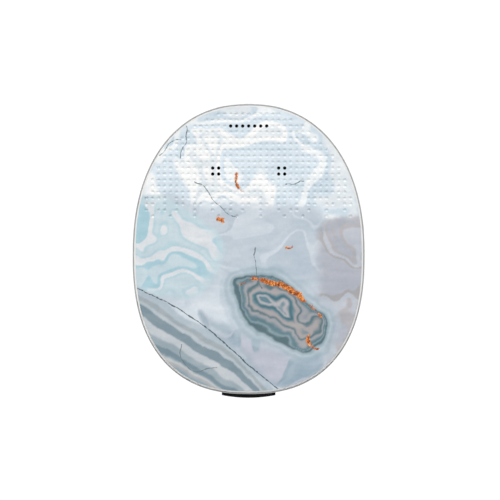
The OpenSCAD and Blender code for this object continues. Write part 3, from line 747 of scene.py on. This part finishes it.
def skin():
    """A closed sheet: a fine lattice, a dished ring for each dimple, and true open holes."""
    columns = int(HALF_W / LATTICE)
    low_row, high_row = -int(BOTTOM_H / LATTICE), int(TOP_H / LATTICE)
    xs = np.arange(-columns, columns + 1) * LATTICE
    zs = np.arange(low_row, high_row + 1) * LATTICE
    x_grid, z_grid = np.meshgrid(xs, zs, indexing="ij")
    inside = egg_level(x_grid, z_grid, SKIN_INSET + 0.3) < 1
    region = inside[:-1, :-1] & inside[1:, :-1] & inside[:-1, 1:] & inside[1:, 1:]
    quads = region.copy()
    index = np.full(inside.shape, -1)
    verts, faces = [], []

    def corner(i, k):
        if index[i, k] < 0:
            index[i, k] = len(verts)
            verts.append((xs[i], SKIN_Y, zs[k]))
        return int(index[i, k])

    holes = grille()
    cells = []
    for x, z, is_open in holes:
        i, k = int(round(x / LATTICE)) + columns, int(round(z / LATTICE)) - low_row
        quads[i - 2 : i + 2, k - 2 : k + 2] = False
        cells.append((i, k))
    for i, k in zip(*np.nonzero(quads)):
        faces.append((corner(i, k), corner(i + 1, k), corner(i + 1, k + 1), corner(i, k + 1)))

    # Walks round each hole's square, from the middle of its right side.
    walk = [(2, 0), (2, 1), (2, 2), (1, 2), (0, 2), (-1, 2), (-2, 2), (-2, 1),
            (-2, 0), (-2, -1), (-2, -2), (-1, -2), (0, -2), (1, -2), (2, -2), (2, -1)]
    open_rings = []
    for (x, z, is_open), (i, k) in zip(holes, cells):
        last = [corner(i + di, k + dk) for di, dk in walk]
        steps = ((HOLE_R, 0.0),) if is_open else DIMPLE
        for r, depth in steps:
            ring = []
            for s in range(SPOKES):
                t = 2 * math.pi * s / SPOKES
                ring.append(len(verts))
                verts.append((x + r * math.cos(t), SKIN_Y + depth, z + r * math.sin(t)))
            faces += [(last[s], last[(s + 1) % SPOKES], ring[(s + 1) % SPOKES],
                       ring[s]) for s in range(SPOKES)]
            last = ring
        if is_open:
            open_rings.append(last)
        else:
            verts.append((x, SKIN_Y + DIMPLE_DEPTH, z))
            faces += [(last[s], last[(s + 1) % SPOKES], len(verts) - 1) for s in range(SPOKES)]

    # The strip between the lattice's stepped edge and the smooth outline.
    outline = even_egg(SKIN_INSET, 840)
    ring = list(range(len(verts), len(verts) + len(outline)))
    verts += [(x, SKIN_Y, z) for x, z in outline]
    padded = np.pad(region, 1)
    borders = []
    for i, k in zip(*np.nonzero(padded[1:, :] != padded[:-1, :])):
        borders.append((corner(i, k - 1), corner(i, k)))
    for i, k in zip(*np.nonzero(padded[:, 1:] != padded[:, :-1])):
        borders.append((corner(i - 1, k), corner(i, k)))
    used = sorted({v for edge in borders for v in edge}) + ring
    where = {v: n for n, v in enumerate(used)}
    flat = [Vector((verts[v][0], verts[v][2])) for v in used]
    edges = [(where[a], where[b]) for a, b in borders]
    edges += [(where[a], where[b]) for a, b in zip(ring, ring[1:] + ring[:1])]
    made = delaunay_2d_cdt(flat, edges, [], 0, 1e-6)
    for face in made[2]:
        middle = sum((made[0][v] for v in face), Vector((0, 0))) / len(face)
        i = math.floor(middle.x / LATTICE) + columns
        k = math.floor(middle.y / LATTICE) - low_row
        in_region = 0 <= i < region.shape[0] and 0 <= k < region.shape[1] and region[i, k]
        if not in_region:
            faces.append(tuple(used[made[3][v][0]] for v in face))

    # The edge, the walls of the open holes and the flat back.
    back_loops = []
    for loop in [ring, *open_rings]:
        back = list(range(len(verts), len(verts) + len(loop)))
        verts += [(verts[v][0], FACE_Y, verts[v][2]) for v in loop]
        faces += [(loop[n - 1], loop[n], back[n], back[n - 1]) for n in range(len(loop))]
        back_loops.append(back)
    used = [v for loop in back_loops for v in loop]
    where = {v: n for n, v in enumerate(used)}
    flat = [Vector((verts[v][0], verts[v][2])) for v in used]
    edges = [(where[a], where[b]) for loop in back_loops for a, b in zip(loop, loop[1:] + loop[:1])]
    made = delaunay_2d_cdt(flat, edges, [], 0, 1e-6)
    opened = [(x, z) for x, z, is_open in holes if is_open]
    for face in made[2]:
        middle = sum((made[0][v] for v in face), Vector((0, 0))) / len(face)
        if all(math.hypot(middle.x - x, middle.y - z) > HOLE_R * 0.99 for x, z in opened):
            faces.append(tuple(used[made[3][v][0]] for v in face))

    obj = mesh_object("face_skin_print", verts, faces, 38)
    marble_print(obj.data, [v.co / MM for v in obj.data.vertices])
    return piece(obj, "face_skin_print", "speaker", printed_skin(), "printed_skin", "face_skin")


# ---------- seal and rear shell ----------

ROUND = 288
ANGLES = np.linspace(0, 2 * math.pi, ROUND, endpoint=False)


def egg_ring(inset, y, angles=ANGLES):
    return [(x, y, z) for x, z in egg(angles, inset)]


def seal(material):
    """The grey seal: a half-round lip round the plate and a flat foot behind it."""
    lip = SEAL_SHOW / 2
    profile = [(0.0, RIM_Y), (0.0, SEAL_FRONT_Y + lip)]
    for step in range(1, 8):
        t = math.pi * step / 8
        profile.append((lip - lip * math.cos(t), SEAL_FRONT_Y + lip - lip * math.sin(t)))
    profile += [(SEAL_SHOW, SEAL_FRONT_Y + lip), (SEAL_SHOW, PLATE_BACK_Y),
                (RIM_INSET + WALL, PLATE_BACK_Y), (RIM_INSET + WALL, RIM_Y)]
    obj = rings_object("seal", [egg_ring(inset, y) for inset, y in profile], closed=True)
    return piece(obj, "seal_lip", "speaker", material, "seal_grey", "seal_ring")


def dome(inset, back_y, front_y, steps):
    """The rear dome as a solid, closed by a flat face at the front and at the back."""
    reach = DOME_IN - inset * 0.5
    rings = [egg_ring(inset, front_y)] if front_y < RIM_Y else []
    for k in range(steps + 1):
        q = math.pi / 2 * k / steps
        away = reach * (1 - math.cos(q) ** (2 / DOME_N)) if k < steps else reach
        rings.append(egg_ring(inset + away, RIM_Y + (back_y - RIM_Y) * math.sin(q) ** (2 / DOME_N)))
    return rings_object("dome", rings)


CASE_SCREWS = [egg(math.radians(t), 7.3) for t in (40, 140, 184, 245, 295, 356)]
BOARD_POSTS = ((-29, 12), (29, 12), (-29, -40), (29, -40))
BUTTON_Y = -42.0
BUTTONS_X = (-14.0, 0.0, 14.0)
POWER_Z = 14.0
POCKET_Z = -67.6
COVER_BACK_Y = -38.2
COVER_FRONT_Y = -48.5
COVER_HALF = 13.4
USB = (-6.0, -41.05)
AUX = (6.5, -41.9)


def rear_shell(material):
    """The white shell: a smooth dome with its posts, screw wells, button holes and port pocket."""
    cavity = dome(RIM_INSET + WALL, BACK_Y - WALL, RIM_Y - 1, 24)
    posts = [cylinder("y", c, 4.6, -34, 0) for c in CASE_SCREWS]
    posts += [cylinder("y", c, 3.0, -27.6, 0, 32) for c in BOARD_POSTS]
    posts += [cylinder("z", (side * 7, -38), 1.4, 64, 80, 24) for side in (-1, 1)]
    posts += [cylinder("x", (BUTTON_Y, POWER_Z + side * 7.2), 1.4, 48.2, 60, 24) for side in (-1, 1)]
    posts.append(box((-15.6, RIM_Y - 2, -80), (15.6, -30, -64)))
    boolean(cavity, posts)
    shell = dome(RIM_INSET, BACK_Y, RIM_Y, 36)
    cuts = [cavity]
    for c in CASE_SCREWS:
        cuts.append(cylinder("y", c, 3.1, -31, 1, 48))
        cuts.append(cylinder("y", c, 1.6, -35, 0, 32))
    cuts += [cylinder("y", c, 1.0, -28.6, -21.6, 24) for c in BOARD_POSTS]
    cuts.append(cylinder("y", (0, 0), 18.1, -22, 0, 96))
    for k in range(3):
        t = math.radians(120 * k + 90)
        cuts.append(cylinder("y", (21 * math.cos(t), 21 * math.sin(t)), 0.9, -22, 0, 24))
    cuts += [cylinder("z", (x, BUTTON_Y), 4.15, 67, 80) for x in BUTTONS_X]
    cuts.append(cylinder("x", (BUTTON_Y, POWER_Z), 4.15, 50, 62))
    cuts.append(box((-COVER_HALF - 0.3, COVER_FRONT_Y - 0.3, -80),
                    (COVER_HALF + 0.3, COVER_BACK_Y + 0.1, POCKET_Z)))
    cuts.append(prism([(-38.1, -67.6), (-31.5, -66.3), (-31.5, -80), (-38.1, -80)], -8.2, 8.2))
    cuts.append(cylinder("z", (0, -33.6), 1.7, -68, -60, 32))
    cuts.append(box((USB[0] - 4.8, USB[1] - 1.9, -69), (USB[0] + 4.8, USB[1] + 1.9, -63)))
    cuts.append(cylinder("z", AUX, 2.6, -69, -63, 48))
    boolean(shell, cuts)
    finished(shell, 30)
    return piece(shell, "rear_shell_smooth", "speaker", material, "white_shell", "rear_shell")


# ---------- port flap ----------

COVER_LOW = -71.4
COVER_ARC = 68.0


def port_flap(material):
    """The rubber flap with its two plugs and a finger ridge, and its strap."""
    count = 40
    lower = []
    for i in range(count + 1):
        x = -COVER_HALF + 2 * COVER_HALF * i / count
        lower.append((x, COVER_LOW + COVER_ARC - math.sqrt(COVER_ARC**2 - x**2)))
    outline = [(COVER_HALF, -67.7), (-COVER_HALF, -67.7), *lower]
    slab = rings_object("flap", [[(x, y, z) for x, z in outline] for y in (COVER_FRONT_Y, COVER_BACK_Y)])
    wedge = prism([(-38.2, -60), (-48.5, -60), (-48.5, -80), (-41.6, -72), (-38.2, -68.6)], -14, 14)
    boolean(slab, [wedge], "INTERSECT")
    rounded(slab, 0.35, 3, 30)
    usb_plug = box((USB[0] - 4.4, USB[1] - 1.4, -68.2), (USB[0] + 4.4, USB[1] + 1.4, -66.6))
    rounded(usb_plug, 0.4)
    aux_plug = cylinder("z", AUX, 2.1, -68.2, -66.6)
    rounded(aux_plug, 0.3)
    ridges = [box((-4, COVER_FRONT_Y - 0.25 , -70.6 + 0.7 * k),
                  (4, COVER_FRONT_Y + 0.5, -70.3 + 0.7 * k)) for k in range(3)]
    boolean(slab, [usb_plug, aux_plug, *ridges], "UNION")
    finished(slab, 40)
    piece(slab, "port_flap_rubber", "port_flap", material, "black_silicone", "port_cover")

    # The strap: a thin web over the hinge line, deepest where it lies in the shell's groove.
    rows = []
    for k in range(33):
        y = -31.6 - 8.2 * k / 32
        top = np.interp(-y, [31.6, 38.1, 39.8], [-66.34, -67.62, -67.95])
        low = np.interp(-y, [31.6, 32.2, 37.0, 37.8, 38.6, 39.8], [-66.9, -67.35, -68.2, -68.3, -68.3, -68.5])
        half = 8.0 - 0.35 * max(0.0, 1 - k / 2)
        rows.append([(-half, y, top), (half, y, top), (half, y, low), (-half, y, low)])
    strap = rings_object("strap", rows, sharp=40)
    piece(strap, "flap_strap", None, material, "black_silicone", "port_cover_strap")
    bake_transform(strap)
    stem = turned_object("stem", [(0.01, -67.2), (1.6, -67.2), (1.6, -63.7), (2.4, -63.6), (2.2, -62.7),
                                  (1.2, -62.4), (0.01, -62.4)],
                         (0, -33.6, 0), "z", 32)
    piece(stem, "flap_strap_plug", "speaker", material, "black_silicone")


# ---------- buttons ----------


def button(name, body, material, mark_material, mark):
    """A cap whose rounded top follows the shell, with its flange and stem, and a raised mark."""
    side = name == "power_button"
    low, high = size_of(name)
    flange = 53.3 if side else 69.2
    middle = (BUTTON_Y, POWER_Z) if side else ((low[0] + high[0]) / 2, BUTTON_Y)

    def surface(u, v):
        """The cap's top at an offset from its middle."""
        inset = RIM_INSET + dome_inset_at(min(BUTTON_Y + (u if side else v), BACK_Y)) - 0.3
        edge = side_at(middle[1] + v) if side else top_at(middle[0] + u)
        return edge - inset

    rings = []
    tops = [(4.0, -0.55), (3.93, -0.32), (3.78, -0.16), (3.5, -0.05), (3.0, 0.0), (2.0, -0.02),
            (1.0, -0.05), (0.3, -0.06)]
    stem_end = low[0] if side else low[2]
    levels = [(0.3, stem_end), (1.5, stem_end), (1.5, flange - 0.8), (5.0, flange - 0.8), (5.0, flange),
              (4.0, flange)]
    for r, h in levels:
        rings.append([(r, 2 * math.pi * i / 64, h, False) for i in range(64)])
    for r, drop in tops:
        rings.append([(r, 2 * math.pi * i / 64, drop, True) for i in range(64)])

    def placed(r, t, h, on_top):
        u, v = r * math.cos(t), r * math.sin(t)
        if on_top:
            h = surface(u, v) + h
        return (h, middle[0] + u, middle[1] + v) if side else (middle[0] + u, middle[1] + v, h)

    obj = rings_object("button", [[placed(*q) for q in ring] for ring in rings], sharp=45)
    piece(obj, name + "_cap", body, material, "button_grey", name)

    bars = []
    for outline in mark:
        ring = [(u, v) for u, v in outline]
        levels = []
        for lift in (-0.25, 0.12):
            levels.append([
                (surface(u, v) + lift - 0.03, middle[0] + u, middle[1] + v) if side
                else (middle[0] + u, middle[1] + v, surface(u, v) + lift - 0.03)
                for u, v in ring
            ])
        bars.append(rings_object("bar", levels))
    whole = bars[0]
    if len(bars) > 1:
        boolean(whole, bars[1:], "UNION")
    finished(whole, 30)
    piece(whole, name + "_mark", body, mark_material, "button_grey")


def bar(u0, v0, u1, v1, width=0.5):
    """A straight stroke of a mark, as four corners."""
    d = np.array([u1 - u0, v1 - v0], float)
    d /= np.linalg.norm(d)
    n = np.array([-d[1], d[0]]) * width / 2
    a, b = np.array([u0, v0]), np.array([u1, v1])
    return [tuple(a - n), tuple(b - n), tuple(b + n), tuple(a + n)]


def arc(radius, start, stop, width=0.5, count=20):
    """A curved stroke of a mark."""
    angles = [math.radians(start + (stop - start) * k / count) for k in range(count + 1)]
    outer = [((radius + width / 2) * math.cos(t), (radius + width / 2) * math.sin(t)) for t in angles]
    inside = radius - width / 2
    inner = [(inside * math.cos(t), inside * math.sin(t)) for t in reversed(angles)]
    return outer + inner


# ---------- suction mount ----------


def suction_cup(material):
    """The cup: a smooth bell with fine ribs on its back and a ridged pull tab."""
    rim = size_of("suction_cup")[1][0]
    outer = [(rim, -0.05), (rim, -0.6), (rim - 0.35, -0.95), (34, -2.3), (30, -3.6), (25, -4.9),
             (20, -6.2), (16.5, -7.2),
             (14, -8.1), (12.7, -9.0), (12.2, -9.6)]
    ribbed = []
    for (r0, y0), (r1, y1) in zip(outer[:-1], outer[1:]):
        ribbed.append((r0, y0))
        if 18 < r1 < 34:
            for f in (0.3, 0.4, 0.5, 0.6):
                lift = 0.22 if 0.35 < f < 0.55 else 0.0
                ribbed.append((r0 + (r1 - r0) * f, y0 + (y1 - y0) * f - lift))
    ribbed.append(outer[-1])
    inner = [(3.1, -9.6), (3.1, -6.8), (8.1, -6.2), (8.1, -4.75), (0.02, -4.75), (0.02, -3.2), (8, -3.15),
             (14, -3.0), (20, -2.5),
             (26, -1.9), (31, -1.1), (34, -0.35), (35.2, 0.0), (rim - 0.4, 0.0)]
    cup = turned_object("cup", ribbed + inner, axis="y", count=160)
    tab_low, tab_high = -45.0, -33.0
    side = []
    for k in range(25):
        z = tab_high + (tab_low - tab_high) * k / 24
        half = 7.0 if z > -41 else math.sqrt(max(0.3, 49 - (z + 41) ** 2 * 3.0))
        rise = 0.35 * max(0.0, math.sin((z + 45) * math.pi / 0.9)) if z < -39 else 0.0
        side.append([(-half, -0.5, z), (half, -0.5, z), (half, -1.7 - rise, z), (-half, -1.7 - rise, z)])
    tab = rings_object("tab", side, sharp=60)
    rounded(tab, 0.25, 2, 60)
    boolean(cup, [tab], "UNION")
    finished(cup, 50)
    piece(cup, "suction_cup_bell", "wall_mount", material, "black_silicone", "suction_cup")


# ---------- drivers ----------


def driver_edges(side, material, spider_material):
    """The surround and the spider, whose inner edges follow the cone."""
    x = -16.5 if side == "left" else 16.5
    z = 41.5
    y = -48.2
    roll = [(11.9 - 1.3 * math.cos(t), y - 1.3 * math.sin(t)) for t in np.linspace(0.0, math.pi, 15)]
    under = [(11.9 + 0.95 * math.cos(t), y - 0.95 * math.sin(t)) for t in np.linspace(0.35,
                                        math.pi - 0.35, 13)]
    profile = [(10.3, y), (10.3, y - 0.35), *roll[2:-2], (13.2, y - 0.5), (13.8, y - 0.5), (13.8, y),
               (12.9, y), *under, (10.95, y)]
    surround = turned_object("surround", profile, (x, 0, z), "y", 72, 60)
    waves = [(7.1 + 0.05 * k, -41.75 - 0.25 * math.sin(2 * math.pi * (0.05 * k) / 1.2)) for k in range(49)]
    ring = [(r, v - 0.12) for r, v in waves] + [(11.0, -41.87), (11.0, -41.62)] + [(r, v + 0.12) for r,
                                        v in reversed(waves)]
    spider = turned_object("spider", ring, (x, 0, z), "y", 72, 60)
    for obj, name, colour, slot, inner, outer in (
        (surround, "surround", material, "black_silicone", 10.8, 13.0),
        (spider, "spider", spider_material, "spider_cloth", 7.2, 9.6),
    ):
        piece(obj, side + "_" + name + "_soft", None, colour, slot, side + "_" + name)
        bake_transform(obj)


# ---------- CAD nodes that keep their own shape ----------


def smooth_shading():
    """A modifier that shades smooth, apart from edges over 35 degrees."""
    group = bpy.data.node_groups.new("smooth_by_angle", "GeometryNodeTree")
    group.interface.new_socket("Geometry", in_out="INPUT", socket_type="NodeSocketGeometry")
    group.interface.new_socket("Geometry", in_out="OUTPUT", socket_type="NodeSocketGeometry")
    start = group.nodes.new("NodeGroupInput")
    stop = group.nodes.new("NodeGroupOutput")
    merge = group.nodes.new("GeometryNodeMergeByDistance")
    merge.inputs["Distance"].default_value = 0.0005 * MM
    faces = group.nodes.new("GeometryNodeSetShadeSmooth")
    edges = group.nodes.new("GeometryNodeSetShadeSmooth")
    edges.domain = "EDGE"
    edges.inputs["Shade Smooth"].default_value = False
    angle = group.nodes.new("GeometryNodeInputMeshEdgeAngle")
    compare = group.nodes.new("FunctionNodeCompare")
    compare.inputs[1].default_value = math.radians(35)
    group.links.new(start.outputs[0], merge.inputs[0])
    group.links.new(merge.outputs[0], faces.inputs[0])
    group.links.new(faces.outputs[0], edges.inputs[0])
    group.links.new(angle.outputs[0], compare.inputs[0])
    group.links.new(compare.outputs[0], edges.inputs["Selection"])
    group.links.new(edges.outputs[0], stop.inputs[0])
    return group


def dress_cad_nodes(materials):
    """Gives each CAD node that stays its slot's material and smooth shading."""
    slots = {s["node"]: s["material_slot"] for s in frame["record"]["subparts"]}
    smoother = smooth_shading()
    for name, obj in nodes.items():
        obj.data.materials.clear()
        obj.data.materials.append(materials[slots[name]])
        m = obj.modifiers.new("smooth", "NODES")
        m.node_group = smoother


# ---------- stage ----------


def stage():
    """A pale floor well below the speaker, which hangs on a wall, and soft studio light."""
    floor = mesh_object("floor", [(-4000, -4000, -350), (4000, -4000, -350), (4000, 4000, -350),
                                  (-4000, 4000, -350)], [(0, 1, 2, 3)])
    m, tree, shader, place = new_material("floor")
    shader.inputs["Base Color"].default_value = (*srgb(240, 240, 240), 1)
    tree.links.new(ranged(tree, noise(tree, place, 60, 3), 0.3, 0.7, 0.7, 0.8), shader.inputs["Roughness"])
    floor.data.materials.append(m)

    world = bpy.data.worlds.new("studio")
    bpy.context.scene.world = world
    world.use_nodes = True
    tree = world.node_tree
    tree.nodes.clear()
    direction = add(tree, "ShaderNodeTexCoord").outputs["Generated"]
    parts = add(tree, "ShaderNodeSeparateXYZ", {0: direction}).outputs
    fall = maths(tree, "MULTIPLY", maths(tree, "POWER", maths(tree, "ABSOLUTE", parts[2]), 2.0), -150.0)
    level = maths(tree, "ADD", maths(tree, "MULTIPLY", maths(tree, "EXPONENT", fall), 0.77), 0.28)
    tilt = maths(tree, "ADD", maths(tree, "MULTIPLY", parts[0], -0.35), 1.0)
    back = add(tree, "ShaderNodeBackground", {"Color": (1, 1, 1, 1),
                                        "Strength": maths(tree, "MULTIPLY", level, tilt)})
    out = add(tree, "ShaderNodeOutputWorld")
    tree.links.new(back.outputs[0], out.inputs[0])

    def area_light(name, place, aim, size, watts):
        light = bpy.data.lights.new(name, "AREA")
        light.shape = "DISK"
        light.size = size
        light.energy = watts
        obj = link(bpy.data.objects.new(name, light))
        obj.location = place
        obj.rotation_euler = (Vector(aim) - Vector(place)).to_track_quat("-Z", "Y").to_euler()

    area_light("back_fill", (0.7, 0.9, 0.5), (0, 0, 0), 0.8, 5.0)
    sun = bpy.data.lights.new("key", "SUN")
    sun.energy = 3.0
    sun.angle = math.radians(9)
    obj = link(bpy.data.objects.new("key", sun))
    obj.rotation_euler = Vector((0.0, 0.40, -0.92)).to_track_quat("-Z", "Y").to_euler()
    bpy.context.scene.view_settings.view_transform = "Standard"

    camera = bpy.data.cameras.new("camera")
    camera.type = "ORTHO"
    camera.ortho_scale = 0.25
    camera.clip_end = 10
    obj = link(bpy.data.objects.new("camera", camera))
    obj.location = (0.67 * MM, -1.0, 2.5 * MM)
    obj.rotation_euler = (math.pi / 2, 0, 0)
    bpy.context.scene.camera = obj


# ---------- everything ----------

materials = {
    "printed_skin": moulded("skin_back", (225, 228, 230), 0.5),
    "white_shell": moulded("white_shell", (232, 232, 230), 0.32, 0.5, 0.006, coat=0.15),
    "seal_grey": moulded("seal_grey", (170, 172, 174), 0.55, 0.2, 0.01, 0.35),
    "black_silicone": moulded("black_silicone", (10, 11, 13), 0.55, 0.25, 0.012, 0.12),
    "button_grey": moulded("button_grey", (172, 174, 176), 0.42, 0.3, 0.01),
    "smoked_light_guide": moulded("smoked_light_guide", (9, 9, 11), 0.3, 0.4, 0.002, 0.08),
    "black_mesh": woven("black_mesh", (16, 16, 17), 0.18),
    "mount_grey": moulded("mount_grey", (150, 152, 155), 0.45, 0.3, 0.012),
    "steel": metal("steel", (190, 192, 195), 0.3),
    "black_steel": metal("black_steel", (60, 61, 64), 0.45),
    "cone_black": moulded("cone_black", (22, 22, 24), 0.5, 0.3, 0.01, 0.3),
    "coil_copper": metal("coil_copper", (205, 122, 74), 0.35, (0.08, 3.0), 0.02),
    "spider_cloth": woven("spider_cloth", (176, 140, 82), 0.4),
    "magnet_plating": metal("magnet_plating", (180, 181, 184), 0.18),
    "circuit_board": circuit_board("circuit_board"),
    "led_white": moulded("led_white", (236, 232, 214), 0.25, 0.3, 0.002, coat=0.5),
    "chip_black": moulded("chip_black", (26, 26, 28), 0.5, 0.12, 0.006, 0.3),
    "socket_steel": metal("socket_steel", (200, 201, 204), 0.25),
    "battery_wrap": moulded("battery_wrap", (38, 86, 160), 0.28, 2.0, 0.01, coat=0.4),
    "red_wire": moulded("red_wire", (176, 34, 26), 0.42, 0.3, 0.006),
    "pale_wire": moulded("pale_wire", (214, 214, 208), 0.42, 0.3, 0.006),
}
mark_white = moulded("mark_white", (236, 236, 234), 0.5, 0.3, 0.004)

dress_cad_nodes(materials)
skin()
seal(materials["seal_grey"])
rear_shell(materials["white_shell"])
port_flap(materials["black_silicone"])
plus = [bar(-1.5, 0, 1.5, 0), bar(0, -1.5, 0, 1.5)]
minus = [bar(-1.5, 0, 1.5, 0)]
play = [[(-1.0, -1.3), (1.4, 0), (-1.0, 1.3)]]
power_mark = [arc(1.4, 120, 420), bar(0, 0.3, 0, 1.9)]
button("volume_down_button", "volume_down", materials["button_grey"], mark_white, minus)
button("play_button", "play", materials["button_grey"], mark_white, play)
button("volume_up_button", "volume_up", materials["button_grey"], mark_white, plus)
button("power_button", "power", materials["button_grey"], mark_white, power_mark)
suction_cup(materials["black_silicone"])
for side in ("left", "right"):
    driver_edges(side, materials["black_silicone"], materials["spider_cloth"])
stage()
